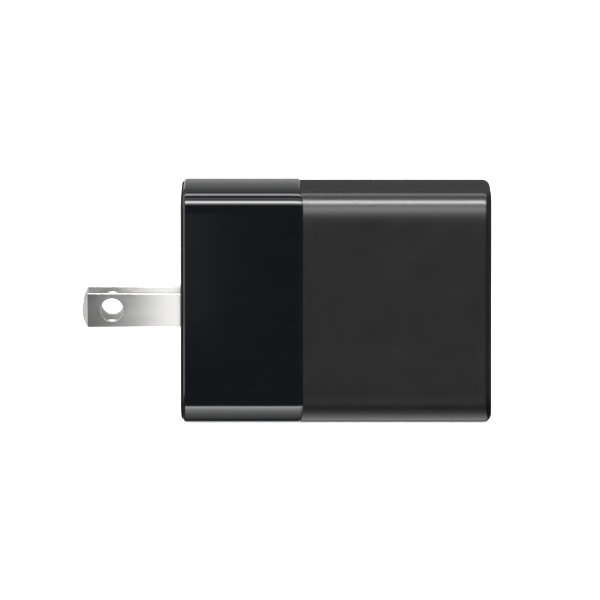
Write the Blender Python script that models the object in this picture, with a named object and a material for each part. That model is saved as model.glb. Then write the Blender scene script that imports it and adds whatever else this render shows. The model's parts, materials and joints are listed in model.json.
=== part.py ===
"""A wall charger with folding prongs, in metres, with +X away from the wall and +Z up.

The origin is the centre of the face plate's outer face, which rests against the wall.
"""

import math

import bmesh
import bpy
from mathutils import Vector

MM = 0.001

# Housing
BODY_LENGTH = 57.4 * MM  # from the wall to the port end
BODY_THICKNESS = 27.0 * MM
BODY_HEIGHT = 43.0 * MM
EDGE_RADIUS = 3.35 * MM  # the four long edges
PORT_END_RADIUS = 1.7 * MM
WALL = 1.5 * MM
SEAM_X = 22.5 * MM  # where the glossy half meets the matte half
SEAM_GAP = 0.15 * MM
SEAM_CHAMFER = 0.12 * MM
GAP = 0.3 * MM  # between neighbouring pieces
CORNER_STEPS = 8  # faces round each long edge
SMALLEST_CORNER = 1.2 * MM

# Face plate, which the prongs come out of
RIM_X = 0.41 * MM  # the glossy rim lies this far behind the plate's face
RIM_RADIUS = 0.45 * MM
PLATE_INSET = 0.9 * MM
PLATE_THICKNESS = 1.2 * MM
PLATE_CHAMFER = 0.25 * MM
SLOT_WIDTH = 2.1 * MM
SCOOP_RADIUS = 9.0 * MM
SCOOP_DEPTH = 0.7 * MM
SCOOP_WIDTH = 8.0 * MM
SCOOP_Z = 16.0 * MM

# Prongs
BLADE_SPACING = 12.7 * MM
BLADE_LENGTH = 18.2 * MM  # beyond the plate
BLADE_WIDTH = 6.1 * MM
BLADE_THICKNESS = 1.5 * MM
BLADE_Z = -1.2 * MM
TIP_SAGITTA = 1.08 * MM
TIP_STEPS = 10
TIP_THICKNESS = 0.6 * MM
HOLE_X = -12.7 * MM
HOLE_RADIUS = 2.23 * MM
PIVOT_DEPTH = 3.3 * MM  # the fold axis, behind the plate's face
CARRIER_RADIUS = 1.8 * MM
CARRIER_LENGTH = 18.4 * MM
CAM_HALF = 1.5 * MM  # the carrier is nearly square in its middle, for the detent
CAM_LENGTH = 6.4 * MM
BLADE_BORE = 2.0 * MM
PIN_RADIUS = 0.6 * MM
PIN_LENGTH = 22.8 * MM
PIN_CLEARANCE = 0.15 * MM
ROUND_STEPS = 24
CRADLE_BASE = 8.6 * MM
CRADLE_BACK = 9.8 * MM
SPRING_TAIL_Z = 6.0 * MM

# Ports
PANEL_INSET = 3.5 * MM  # from the housing's outline to the end panel's pocket
PANEL_THICKNESS = 0.9 * MM
PANEL_SINK = 0.05 * MM
END_WALL = 1.5 * MM
USB_C_Z = 7.5 * MM
USB_C_MOUTH = (8.34 * MM, 2.56 * MM)
USB_A_Z = -6.5 * MM
USB_A_MOUTH = (12.5 * MM, 5.12 * MM)
PORT_METAL = 0.3 * MM
MOUTH_X = BODY_LENGTH - 0.4 * MM

# Boards
MAIN_BOARD_FRONT = -8.0 * MM
BOARD_THICKNESS = 1.2 * MM
MAIN_BOARD_X = (12.5 * MM, 42.8 * MM)
MAIN_BOARD_HALF_Z = 18.0 * MM
PORT_BOARD_X = 43.3 * MM
PORT_BOARD_FRONT = PORT_BOARD_X + BOARD_THICKNESS


def clear_scene():
    for obj in list(bpy.data.objects):
        bpy.data.objects.remove(obj, do_unlink=True)


def material(name, colour, roughness, metallic=0.0):
    made = bpy.data.materials.new(name)
    made.use_nodes = True
    shader = made.node_tree.nodes["Principled BSDF"]
    shader.inputs["Base Color"].default_value = (*colour, 1.0)
    shader.inputs["Roughness"].default_value = roughness
    shader.inputs["Metallic"].default_value = metallic
    return made


def make_materials():
    return {
        "gloss_black": material("gloss_black", (0.012, 0.013, 0.015), 0.12),
        "matte_black": material("matte_black", (0.028, 0.028, 0.028), 0.45),
        "plate_black": material("plate_black", (0.010, 0.010, 0.010), 0.55),
        "nickel": material("nickel", (0.72, 0.71, 0.69), 0.28, 1.0),
        "steel": material("steel", (0.62, 0.62, 0.63), 0.30, 1.0),
        "bronze": material("bronze", (0.72, 0.48, 0.25), 0.30, 1.0),
        "carrier_plastic": material("carrier_plastic", (0.03, 0.03, 0.03), 0.50),
        "insulator_black": material("insulator_black", (0.02, 0.02, 0.02), 0.45),
        "board": material("board", (0.02, 0.15, 0.08), 0.45),
        "chip": material("chip", (0.03, 0.03, 0.03), 0.50),
        "ceramic_white": material("ceramic_white", (0.75, 0.73, 0.68), 0.40),
        "disc_green": material("disc_green", (0.05, 0.18, 0.10), 0.45),
        "disc_blue": material("disc_blue", (0.05, 0.20, 0.50), 0.40),
        "film_yellow": material("film_yellow", (0.80, 0.60, 0.08), 0.40),
        "ferrite": material("ferrite", (0.06, 0.06, 0.06), 0.60),
        "copper": material("copper", (0.75, 0.36, 0.20), 0.30, 1.0),
        "tape_yellow": material("tape_yellow", (0.78, 0.62, 0.14), 0.50),
        "capacitor_sleeve": material("capacitor_sleeve", (0.02, 0.03, 0.06), 0.35),
        "aluminium": material("aluminium", (0.78, 0.78, 0.79), 0.35, 1.0),
        "lead_black": material("lead_black", (0.02, 0.02, 0.02), 0.45),
        "lead_white": material("lead_white", (0.70, 0.70, 0.68), 0.45),
        "silicone_grey": material("silicone_grey", (0.35, 0.37, 0.40), 0.70),
        "film_clear": material("film_clear", (0.60, 0.62, 0.60), 0.30),
    }


def finish_object(name, bm, surface, parent=None, location=(0.0, 0.0, 0.0)):
    """Turns a bmesh into a named, shaded object."""
    bmesh.ops.recalc_face_normals(bm, faces=bm.faces)
    mesh = bpy.data.meshes.new(name)
    bm.to_mesh(mesh)
    bm.free()
    mesh.materials.append(surface)
    mesh.shade_smooth()
    mesh.set_sharp_from_angle(angle=math.radians(32))
    obj = bpy.data.objects.new(name, mesh)
    bpy.context.scene.collection.objects.link(obj)
    obj.location = location
    obj.parent = parent
    return obj


def cut(obj, cutter):
    """Subtracts a helper from an object with a Boolean."""
    cutter.hide_render = True
    cutter.display_type = "WIRE"
    modifier = obj.modifiers.new("cut_" + cutter.name, "BOOLEAN")
    modifier.operation = "DIFFERENCE"
    modifier.solver = "EXACT"
    modifier.object = cutter


def bevel(obj, width, segments=1, angle=40):
    modifier = obj.modifiers.new("edges", "BEVEL")
    modifier.width = width
    modifier.segments = segments
    modifier.limit_method = "ANGLE"
    modifier.angle_limit = math.radians(angle)


def rounded_rectangle(half_a, half_b, radius, steps=CORNER_STEPS):
    """Points round a rectangle with round corners, anticlockwise."""
    points = []
    corners = ((1, 1), (-1, 1), (-1, -1), (1, -1))
    for quarter, (side_a, side_b) in enumerate(corners):
        for step in range(steps + 1):
            angle = math.radians(90 * (quarter + step / steps))
            a = side_a * (half_a - radius) + radius * math.cos(angle)
            b = side_b * (half_b - radius) + radius * math.sin(angle)
            points.append((a, b))
    return points


def circle(radius, steps=ROUND_STEPS):
    turns = (2 * math.pi * step / steps for step in range(steps))
    return [(radius * math.cos(angle), radius * math.sin(angle)) for angle in turns]


def body_ring(x, inset):
    """The housing's outline, inset all round, as a ring of points at x."""
    radius = max(EDGE_RADIUS - inset, SMALLEST_CORNER)
    outline = rounded_rectangle(BODY_THICKNESS / 2 - inset, BODY_HEIGHT / 2 - inset, radius)
    return [Vector((x, y, z)) for y, z in outline]


def loft(rings, closed=False):
    """A solid through rings of equal count: capped at both ends, or joined back to the first ring."""
    bm = bmesh.new()
    loops = [[bm.verts.new(point) for point in ring] for ring in rings]
    pairs = list(zip(loops, loops[1:]))
    if closed:
        pairs.append((loops[-1], loops[0]))
    for first, second in pairs:
        for here in range(len(first)):
            there = (here + 1) % len(first)
            bm.faces.new((first[here], first[there], second[there], second[here]))
    if not closed:
        bm.faces.new(loops[0])
        bm.faces.new(loops[-1])
    return bm


def fillet(x, inset, radius, steps, start, end):
    """Points of a round edge in the (x, inset) plane, about its centre."""
    points = []
    for step in range(steps + 1):
        angle = math.radians(start + (end - start) * step / steps)
        points.append((x + radius * math.cos(angle), inset - radius * math.sin(angle)))
    return points


def along(axis, points, offset):
    """Flat points (a, b) placed at an offset along one axis, with a and b on the other two in order."""
    place = {
        "X": lambda a, b: Vector((offset, a, b)),
        "Y": lambda a, b: Vector((a, offset, b)),
        "Z": lambda a, b: Vector((a, b, offset)),
    }[axis]
    return [place(a, b) for a, b in points]


def prism(name, axis, outline, low, high, surface, parent=None, location=(0.0, 0.0, 0.0)):
    """A flat outline extruded along an axis."""
    bm = loft([along(axis, outline, low), along(axis, outline, high)])
    return finish_object(name, bm, surface, parent, location)


def box(name, low, high, surface, chamfer=0.0, parent=None):
    """A block between two corners, with its origin at its centre."""
    centre = [(a + b) / 2 for a, b in zip(low, high)]
    half = [(b - a) / 2 for a, b in zip(low, high)]
    outline = [(-half[0], -half[1]), (half[0], -half[1]), (half[0], half[1]), (-half[0], half[1])]
    obj = prism(name, "Z", outline, -half[2], half[2], surface, parent, centre)
    if chamfer:
        bevel(obj, chamfer)
    return obj


def rod(name, axis, centre, radius, length, surface, steps=ROUND_STEPS, chamfer=0.0, parent=None):
    """A round bar centred on a point, with its ends chamfered when asked."""
    half = length / 2
    stations = [(-half, radius - chamfer), (-half + chamfer, radius)]
    stations += [(half - chamfer, radius), (half, radius - chamfer)]
    if not chamfer:
        stations = [(-half, radius), (half, radius)]
    bm = loft([along(axis, circle(size, steps), offset) for offset, size in stations])
    return finish_object(name, bm, surface, parent, centre)


def strip(name, path, thickness, width, surface, y):
    """A bent leaf: a path in the XZ plane, given thickness in that plane and width along Y."""
    points = [Vector((x, z)) for x, z in path]
    upper, lower = [], []
    for index, point in enumerate(points):
        ahead = points[min(index + 1, len(points) - 1)]
        behind = points[max(index - 1, 0)]
        normal = (ahead - behind).orthogonal().normalized() * thickness / 2
        upper.append(point + normal)
        lower.append(point - normal)
    outline = [tuple(point) for point in upper + lower[::-1]]
    return prism(name, "Y", outline, -width / 2, width / 2, surface, location=(0.0, y, 0.0))


def port_outline(mouth, round_ends, grow=0.0):
    """A port's outline about its centre: across Y, then Z."""
    half_y = mouth[0] / 2 + grow
    half_z = mouth[1] / 2 + grow
    radius = half_z * 0.98 if round_ends else 0.5 * MM + grow
    return rounded_rectangle(half_y, half_z, radius, 5)


PORTS = (("usb_c", USB_C_MOUTH, USB_C_Z, True), ("usb_a", USB_A_MOUTH, USB_A_Z, False))


def make_wall_shell(surfaces):
    """The glossy half: a sleeve with a rebate for the plate and a lip that enters the matte half."""
    seam = SEAM_X - SEAM_GAP / 2
    lip_end = SEAM_X + 2.8 * MM
    lip_outer = WALL + SEAM_GAP
    lip_inner = lip_outer + 0.8 * MM
    rebate_inset = PLATE_INSET - SEAM_GAP
    rebate_x = PLATE_THICKNESS + GAP
    profile = [(rebate_x, rebate_inset), (RIM_X, rebate_inset)]
    profile += fillet(RIM_X + RIM_RADIUS, RIM_RADIUS, RIM_RADIUS, 4, 180, 90)
    profile += [(seam - SEAM_CHAMFER, 0.0), (seam, SEAM_CHAMFER), (seam, lip_outer)]
    profile += [(lip_end, lip_outer), (lip_end, lip_inner)]
    profile += [(seam - 2.0 * MM, lip_inner), (seam - 3.0 * MM, WALL), (rebate_x, WALL)]
    bm = loft([body_ring(x, inset) for x, inset in profile], closed=True)
    shell = finish_object("wall_shell", bm, surfaces["gloss_black"])
    for side, y in (("right", -BLADE_SPACING / 2), ("left", BLADE_SPACING / 2)):
        low = (RIM_X, y - SLOT_WIDTH / 2, BODY_HEIGHT / 2 - WALL - GAP)
        high = (7.0 * MM, y + SLOT_WIDTH / 2, BODY_HEIGHT / 2 - PLATE_INSET)
        cut(shell, box("tip_pocket_cutter_" + side, low, high, surfaces["gloss_black"]))


def make_port_shell(surfaces):
    """The matte half: a cup whose end wall holds the port panel."""
    seam = SEAM_X + SEAM_GAP / 2
    pocket_x = BODY_LENGTH - PANEL_SINK - PANEL_THICKNESS - SEAM_GAP
    profile = [(pocket_x - END_WALL, WALL), (seam, WALL), (seam, SEAM_CHAMFER)]
    profile += [(seam + SEAM_CHAMFER, 0.0)]
    profile += fillet(BODY_LENGTH - PORT_END_RADIUS, PORT_END_RADIUS, PORT_END_RADIUS, 6, 90, 0)
    profile += [(BODY_LENGTH, PANEL_INSET), (pocket_x, PANEL_INSET)]
    bm = loft([body_ring(x, inset) for x, inset in profile])
    shell = finish_object("port_shell", bm, surfaces["matte_black"])
    panel_low = BODY_LENGTH - PANEL_SINK - PANEL_THICKNESS
    rings = [body_ring(x, PANEL_INSET + SEAM_GAP) for x in (panel_low, BODY_LENGTH - PANEL_SINK)]
    panel = finish_object("port_panel", loft(rings), surfaces["gloss_black"])
    for name, mouth, z, round_ends in PORTS:
        outline = port_outline(mouth, round_ends, PORT_METAL + SEAM_GAP)
        low = pocket_x - 2 * END_WALL
        high = BODY_LENGTH + END_WALL
        place = (0.0, 0.0, z)
        surface = surfaces["gloss_black"]
        cutter = prism(name + "_cutter", "X", outline, low, high, surface, location=place)
        cut(shell, cutter)
        cut(panel, cutter)


def make_face_plate(surfaces):
    """The plate that meets the wall, with a slot for each prong and a finger scoop between them."""
    profile = [(0.0, PLATE_INSET + PLATE_CHAMFER), (PLATE_CHAMFER, PLATE_INSET)]
    profile += [(PLATE_THICKNESS, PLATE_INSET)]
    bm = loft([body_ring(x, inset) for x, inset in profile])
    plate = finish_object("face_plate", bm, surfaces["plate_black"])
    surface = surfaces["plate_black"]
    for side, y in (("right", -BLADE_SPACING / 2), ("left", BLADE_SPACING / 2)):
        low = (-PLATE_THICKNESS, y - SLOT_WIDTH / 2, BLADE_Z - BLADE_WIDTH / 2 - GAP)
        high = (2 * PLATE_THICKNESS, y + SLOT_WIDTH / 2, BODY_HEIGHT / 2)
        cut(plate, box("slot_cutter_" + side, low, high, surface))
    centre = (SCOOP_DEPTH - SCOOP_RADIUS, 0.0, SCOOP_Z)
    cut(plate, rod("scoop_cutter", "Y", centre, SCOOP_RADIUS, SCOOP_WIDTH, surface, 48))


def blade_outline():
    """One blade's side view about the fold axis: an arched tip and a round root."""
    half = BLADE_WIDTH / 2
    tip_x = -(BLADE_LENGTH + PIVOT_DEPTH)
    tip_radius = (half**2 + TIP_SAGITTA**2) / (2 * TIP_SAGITTA)
    reach = math.asin(half / tip_radius)
    points = []
    for step in range(TIP_STEPS + 1):
        angle = math.pi - reach + 2 * reach * step / TIP_STEPS
        points.append((tip_x + tip_radius + tip_radius * math.cos(angle), tip_radius * math.sin(angle)))
    for step in range(ROUND_STEPS // 2 + 1):
        angle = -math.pi / 2 + math.pi * step / (ROUND_STEPS // 2)
        points.append((half * math.cos(angle), half * math.sin(angle)))
    return points


def thin_the_tip(bm):
    """Slopes both broad faces from the tip's chord down to the tip's thin edge."""
    tip_x = -(BLADE_LENGTH + PIVOT_DEPTH)
    chord_x = tip_x + TIP_SAGITTA
    slope = (BLADE_THICKNESS - TIP_THICKNESS) / 2 / TIP_SAGITTA
    for side in (1, -1):
        geometry = bm.verts[:] + bm.edges[:] + bm.faces[:]
        origin = (chord_x, side * BLADE_THICKNESS / 2, 0.0)
        outward = (-slope, side, 0.0)
        bmesh.ops.bisect_plane(
            bm, geom=geometry, plane_co=origin, plane_no=outward, clear_outer=True, dist=1e-9
        )
        bmesh.ops.holes_fill(bm, edges=[edge for edge in bm.edges if edge.is_boundary])


def part_the_contact_faces(bm):
    """Splits both broad faces just outside the wall plate, so the stretch that mates is its own face."""
    geometry = bm.verts[:] + bm.edges[:] + bm.faces[:]
    origin = (-PIVOT_DEPTH - GAP, 0.0, 0.0)
    bmesh.ops.bisect_plane(bm, geom=geometry, plane_co=origin, plane_no=(1.0, 0.0, 0.0), dist=1e-9)


def make_prongs(surfaces):
    """The folding set: a moulded carrier that turns on a pin, with both blades on it."""
    pivot = (PIVOT_DEPTH, 0.0, BLADE_Z)
    hinge = bpy.data.objects.new("prong_hinge", None)
    hinge.location = pivot
    bpy.context.scene.collection.objects.link(hinge)

    half_bar = CARRIER_LENGTH / 2
    half_cam = CAM_LENGTH / 2
    bar = circle(CARRIER_RADIUS)
    cam = [Vector(point) for point in bar]
    cam = [point * min(1.0, CAM_HALF / max(abs(point.x), abs(point.y))) for point in cam]
    bore = circle(PIN_RADIUS + PIN_CLEARANCE)
    step = 0.2 * MM
    stations = [(-half_bar, bore), (-half_bar, bar), (-half_cam - step, bar), (-half_cam, cam)]
    stations += [(half_cam, cam), (half_cam + step, bar), (half_bar, bar), (half_bar, bore)]
    bm = loft([along("Y", outline, offset) for offset, outline in stations], closed=True)
    finish_object("prong_carrier", bm, surfaces["carrier_plastic"], hinge)

    for side, y in (("right", -BLADE_SPACING / 2), ("left", BLADE_SPACING / 2)):
        half = BLADE_THICKNESS / 2
        bm = loft([along("Y", blade_outline(), offset) for offset in (-half, half)])
        thin_the_tip(bm)
        part_the_contact_faces(bm)
        blade = finish_object("blade_" + side, bm, surfaces["nickel"], hinge, (0.0, y, 0.0))
        place = (HOLE_X - PIVOT_DEPTH, y, 0.0)
        length = 3 * BLADE_THICKNESS
        metal = surfaces["nickel"]
        hole = rod("hole_cutter_" + side, "Y", place, HOLE_RADIUS, length, metal, parent=hinge)
        cut(blade, hole)
        place = (0.0, y, 0.0)
        root = rod("root_cutter_" + side, "Y", place, BLADE_BORE, length, metal, parent=hinge)
        cut(blade, root)

    rod("pivot_pin", "Y", pivot, PIN_RADIUS, PIN_LENGTH, surfaces["steel"], 16, 0.1 * MM)


def make_prong_well(surfaces):
    """The tray behind the plate: two channels that the folded prongs lie in, joined by a web."""
    front = PLATE_THICKNESS + GAP
    skin = 0.6 * MM
    floor = PIVOT_DEPTH + BLADE_WIDTH / 2 + 0.3 * MM
    near = (BLADE_SPACING - SLOT_WIDTH) / 2
    far = (BLADE_SPACING + SLOT_WIDTH) / 2
    outline = [(front, -far - skin), (front, -far), (floor, -far), (floor, -near), (front, -near)]
    outline += [(x, -y) for x, y in reversed(outline)]
    rear = [(floor + skin, far + skin), (floor + skin, near - skin), (front + skin, near - skin)]
    outline += rear + [(x, -y) for x, y in reversed(rear)]
    low = BLADE_Z + BLADE_WIDTH / 2 + 0.9 * MM
    high = BODY_HEIGHT / 2 - WALL - GAP
    prism("prong_well", "Z", outline, low, high, surfaces["carrier_plastic"])


def make_hinge_cradle(surfaces):
    """The bracket that holds the pin behind the plate."""
    front = PLATE_THICKNESS + GAP + 0.1 * MM
    inner = CARRIER_LENGTH / 2 + 0.4 * MM
    outer = inner + 1.6 * MM
    outline = [(front, -outer), (CRADLE_BACK, -outer), (CRADLE_BACK, outer), (front, outer)]
    outline += [(front, inner), (CRADLE_BASE, inner), (CRADLE_BASE, -inner), (front, -inner)]
    low = BLADE_Z - 5.3 * MM
    high = BLADE_Z + 5.4 * MM
    cradle = prism("hinge_cradle", "Z", outline, low, high, surfaces["carrier_plastic"])
    place = (PIVOT_DEPTH, 0.0, BLADE_Z)
    radius = PIN_RADIUS + PIN_CLEARANCE
    cut(cradle, rod("pin_cutter", "Y", place, radius, 26 * MM, surfaces["steel"], 16))


def make_springs(surfaces):
    """A leaf that clicks on the carrier's flats, and one that wipes the root of each blade."""
    x = PIVOT_DEPTH + CARRIER_RADIUS + GAP
    path = [(x + 0.15 * MM, BLADE_Z - 3.4 * MM), (x, BLADE_Z), (x + 0.15 * MM, BLADE_Z + 3.0 * MM)]
    path += [(6.6 * MM, 3.2 * MM), (CRADLE_BASE - 0.4 * MM, 3.7 * MM)]
    strip("detent_spring", path, 0.3 * MM, 5.0 * MM, surfaces["bronze"], 0.0)

    x = PIVOT_DEPTH + BLADE_WIDTH / 2 + 0.37 * MM
    path = [(x + 0.25 * MM, BLADE_Z - 3.0 * MM), (x, BLADE_Z), (x + 0.25 * MM, BLADE_Z + 2.4 * MM)]
    path += [(7.95 * MM, 2.4 * MM), (8.2 * MM, 4.4 * MM), (8.9 * MM, 5.7 * MM)]
    path += [(9.8 * MM, SPRING_TAIL_Z), (10.8 * MM, SPRING_TAIL_Z)]
    for side, y in (("right", -BLADE_SPACING / 2), ("left", BLADE_SPACING / 2)):
        strip("contact_spring_" + side, path, 0.35 * MM, 1.3 * MM, surfaces["bronze"], y)


def make_ports(surfaces):
    """Each port's pressed metal shell, and the moulded insulator with its tongue."""
    back = PORT_BOARD_FRONT + GAP
    for name, mouth, z, round_ends in PORTS:
        inner = port_outline(mouth, round_ends)
        outer = port_outline(mouth, round_ends, PORT_METAL)
        stations = [(back, inner), (back, outer), (MOUTH_X, outer), (MOUTH_X, inner)]
        bm = loft([along("X", outline, offset) for offset, outline in stations], closed=True)
        finish_object(name + "_shell", bm, surfaces["steel"], location=(0.0, 0.0, z))

    back_block = 2.4 * MM
    block = port_outline(USB_C_MOUTH, True, -0.15 * MM)
    tongue = rounded_rectangle(6.69 * MM / 2, 0.7 * MM / 2, 0.3 * MM, 5)
    stations = [(back, block), (back + back_block, block), (back + back_block, tongue)]
    stations += [(MOUTH_X - 0.9 * MM, tongue)]
    bm = loft([along("X", outline, offset) for offset, outline in stations])
    surface = surfaces["insulator_black"]
    finish_object("usb_c_insulator", bm, surface, location=(0.0, 0.0, USB_C_Z))

    block = port_outline(USB_A_MOUTH, False, -0.15 * MM)
    rise = 1.1 * MM
    tongue = [(y, b + rise) for y, b in rounded_rectangle(11.1 * MM / 2, 1.84 * MM / 2, 0.3 * MM, 5)]
    stations = [(back, block), (back + back_block, block), (back + back_block, tongue)]
    stations += [(MOUTH_X - 0.7 * MM, tongue)]
    bm = loft([along("X", outline, offset) for offset, outline in stations])
    finish_object("usb_a_insulator", bm, surface, location=(0.0, 0.0, USB_A_Z))


def make_boards(surfaces):
    """The main board lies along one broad side, and the port board stands across its end."""
    low = (MAIN_BOARD_X[0], MAIN_BOARD_FRONT - BOARD_THICKNESS, -MAIN_BOARD_HALF_Z)
    high = (MAIN_BOARD_X[1], MAIN_BOARD_FRONT, MAIN_BOARD_HALF_Z)
    box("main_board", low, high, surfaces["board"])
    low = (PORT_BOARD_X, -9.0 * MM, -17.5 * MM)
    high = (PORT_BOARD_FRONT, 10.0 * MM, 17.5 * MM)
    box("port_board", low, high, surfaces["board"])
    low = (41.2 * MM, MAIN_BOARD_FRONT + GAP, 3.0 * MM)
    high = (43.0 * MM, MAIN_BOARD_FRONT + 2.5 * MM, 15.0 * MM)
    box("link_header", low, high, surfaces["insulator_black"], 0.2 * MM)


def on_board(name, x, z, size, surface, chamfer=0.25 * MM):
    """A block standing on the main board's front, with size given along X, Y and Z."""
    foot = MAIN_BOARD_FRONT + GAP
    low = (x - size[0] / 2, foot, z - size[2] / 2)
    high = (x + size[0] / 2, foot + size[1], z + size[2] / 2)
    box(name, low, high, surface, chamfer)


def behind_board(name, x, z, size, surface):
    """A chip on the main board's back, with size given along X, Y and Z."""
    foot = MAIN_BOARD_FRONT - BOARD_THICKNESS - GAP
    low = (x - size[0] / 2, foot - size[1], z - size[2] / 2)
    high = (x + size[0] / 2, foot, z + size[2] / 2)
    box(name, low, high, surface, 0.1 * MM)


def can_capacitor(name, x, z, radius, height, surface):
    """A standing electrolytic can, with the crimped groove near its foot."""
    foot = MAIN_BOARD_FRONT + GAP
    groove = 0.35 * MM
    stations = [(0.0, radius - groove), (0.3 * MM, radius), (1.6 * MM, radius)]
    stations += [(2.0 * MM, radius - groove), (2.4 * MM, radius), (height - groove, radius)]
    stations += [(height, radius - groove), (height, radius * 0.8), (height - 0.2 * MM, radius * 0.78)]
    bm = loft([along("Y", circle(size, 20), offset) for offset, size in stations])
    finish_object(name, bm, surface, location=(x, foot, z))


def tube_ring(radial, radius, thickness):
    """A round section of a bent tube, whose middle is radius out along a direction in the XZ plane."""
    upward = Vector((0.0, 1.0, 0.0))
    return [radial * (radius + a) + upward * b for a, b in circle(thickness, 12)]


def ring_section(radius, thickness_in, thickness_out, start, end, steps, closed):
    """A bent round tube in the XZ plane: hollow when thickness_in is over zero."""
    radials = []
    for step in range(steps if closed else steps + 1):
        turn = math.radians(start + (end - start) * step / steps)
        radials.append(Vector((math.cos(turn), 0.0, math.sin(turn))))
    outer = [tube_ring(radial, radius, thickness_out) for radial in radials]
    if not thickness_in:
        return loft(outer, closed)
    inner = [tube_ring(radial, radius, thickness_in) for radial in reversed(radials)]
    return loft(outer + inner, closed=True)


def make_choke(surfaces):
    """The common-mode choke: a ferrite ring with a winding on each side."""
    radius = 3.6 * MM
    core = 1.1 * MM
    sleeve = 1.3 * MM
    outside = 1.8 * MM
    centre = (17.9 * MM, MAIN_BOARD_FRONT + GAP + outside, 11.8 * MM)
    bm = ring_section(radius, 0.0, core, 0, 360, 24, True)
    finish_object("choke_core", bm, surfaces["ferrite"], location=centre)
    for side, middle in (("upper", 90), ("lower", 270)):
        bm = ring_section(radius, sleeve, outside, middle - 60, middle + 60, 10, False)
        finish_object("choke_winding_" + side, bm, surfaces["copper"], location=centre)


def make_transformer(surfaces):
    """A ferrite frame with two windows, and a wound bobbin on its middle limb, which runs along Z."""
    half_x, half_y, half_z = 6.4 * MM, 3.5 * MM, 6.8 * MM
    limb = 2.0 * MM
    window_half_z = half_z - limb
    rise = 7.0 * MM
    centre = (33.2 * MM, MAIN_BOARD_FRONT + GAP + rise, 9.6 * MM)
    low = (centre[0] - half_x, centre[1] - half_y, centre[2] - half_z)
    high = (centre[0] + half_x, centre[1] + half_y, centre[2] + half_z)
    core = box("transformer_core", low, high, surfaces["ferrite"])
    for name, side in (("inner_window", -1), ("outer_window", 1)):
        ends = sorted((centre[0] + side * limb, centre[0] + side * (half_x - limb)))
        low = (ends[0], centre[1] - 2 * half_y, centre[2] - window_half_z)
        high = (ends[1], centre[1] + 2 * half_y, centre[2] + window_half_z)
        cut(core, box(name + "_cutter", low, high, surfaces["ferrite"]))

    def collar(grow):
        return rounded_rectangle(limb + grow, half_y + grow, 0.3 * MM + grow, 3)

    bore, barrel, flange = collar(GAP), collar(0.7 * MM), collar(2.2 * MM)
    end = window_half_z - GAP
    face = end - 0.4 * MM
    stations = [(-end, bore), (-end, flange), (-face, flange), (-face, barrel)]
    stations += [(face, barrel), (face, flange), (end, flange), (end, bore)]
    bm = loft([along("Z", outline, offset) for offset, outline in stations], closed=True)
    finish_object("transformer_bobbin", bm, surfaces["insulator_black"], location=centre)

    inside, wound = collar(0.8 * MM), collar(2.0 * MM)
    face -= 0.2 * MM
    stations = [(-face, inside), (-face, wound), (face, wound), (face, inside)]
    bm = loft([along("Z", outline, offset) for offset, outline in stations], closed=True)
    finish_object("transformer_winding", bm, surfaces["tape_yellow"], location=centre)


def make_input_parts(surfaces):
    """What the mains meets first: fuse, inrush thermistor, film capacitor and rectifier."""
    foot = MAIN_BOARD_FRONT + GAP
    radius = 1.9 * MM
    rod(
        "fuse", "Z", (15.0 * MM, foot + radius, -13.5 * MM), radius, 7.5 * MM,
        surfaces["ceramic_white"], 20, 0.3 * MM,
    )
    radius = 3.2 * MM
    rod(
        "thermistor", "X", (15.0 * MM, foot + radius, -5.3 * MM), radius, 2.4 * MM,
        surfaces["disc_green"], 20, 0.4 * MM,
    )
    on_board("x_capacitor", 21.5 * MM, -11.5 * MM, (6 * MM, 11 * MM, 12 * MM), surfaces["film_yellow"])
    on_board("bridge_rectifier", 21.5 * MM, -0.5 * MM, (6 * MM, 2.4 * MM, 8 * MM), surfaces["chip"])


def make_output_parts(surfaces):
    """The isolated side: safety capacitor, optocoupler, smoothing cans and the port board's parts."""
    foot = MAIN_BOARD_FRONT + GAP
    radius = 3.0 * MM
    rod(
        "y_capacitor", "X", (37.0 * MM, foot + radius, -1.3 * MM), radius, 2.2 * MM,
        surfaces["disc_blue"], 20, 0.4 * MM,
    )
    on_board("optocoupler", 40.5 * MM, -1.7 * MM, (2.6 * MM, 3.4 * MM, 4.6 * MM), surfaces["chip"])
    sleeve = surfaces["capacitor_sleeve"]
    for number, z in ((1, -14.6 * MM), (2, -7.8 * MM)):
        can_capacitor(f"output_capacitor_{number}", 39.0 * MM, z, 3.1 * MM, 11 * MM, sleeve)
    front = PORT_BOARD_FRONT + GAP
    middle_z = (USB_C_Z + USB_A_Z) / 2
    low = (front, -3.0 * MM, middle_z - 2.6 * MM)
    high = (front + 3.2 * MM, 3.0 * MM, middle_z + 3.0 * MM)
    box("output_inductor", low, high, surfaces["ferrite"], 0.4 * MM)
    low = (front, -2.5 * MM, 11.5 * MM)
    high = (front + 0.9 * MM, 2.5 * MM, 16.5 * MM)
    box("port_controller", low, high, surfaces["chip"], 0.1 * MM)


def make_switching_parts(surfaces):
    """The two bulk cans, and the chips on the board's back, with the pad that cools them."""
    sleeve = surfaces["capacitor_sleeve"]
    for number, z in ((1, -12.8 * MM), (2, -3.0 * MM)):
        can_capacitor(f"bulk_capacitor_{number}", 30.3 * MM, z, 4.6 * MM, 18 * MM, sleeve)
    behind_board("power_switch", 30.5 * MM, 4.0 * MM, (8 * MM, 0.9 * MM, 6 * MM), surfaces["chip"])
    behind_board("control_chip", 30.5 * MM, -5.0 * MM, (5 * MM, 0.9 * MM, 6 * MM), surfaces["chip"])
    behind_board("sync_rectifier", 39.5 * MM, 4.0 * MM, (5 * MM, 0.9 * MM, 6 * MM), surfaces["chip"])
    chip_back = MAIN_BOARD_FRONT - BOARD_THICKNESS - GAP - 0.9 * MM
    low = (26.5 * MM, chip_back - 0.5 * MM, -8.0 * MM)
    high = (42.0 * MM, chip_back - 0.1 * MM, 8.0 * MM)
    box("thermal_pad", low, high, surfaces["silicone_grey"])


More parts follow.
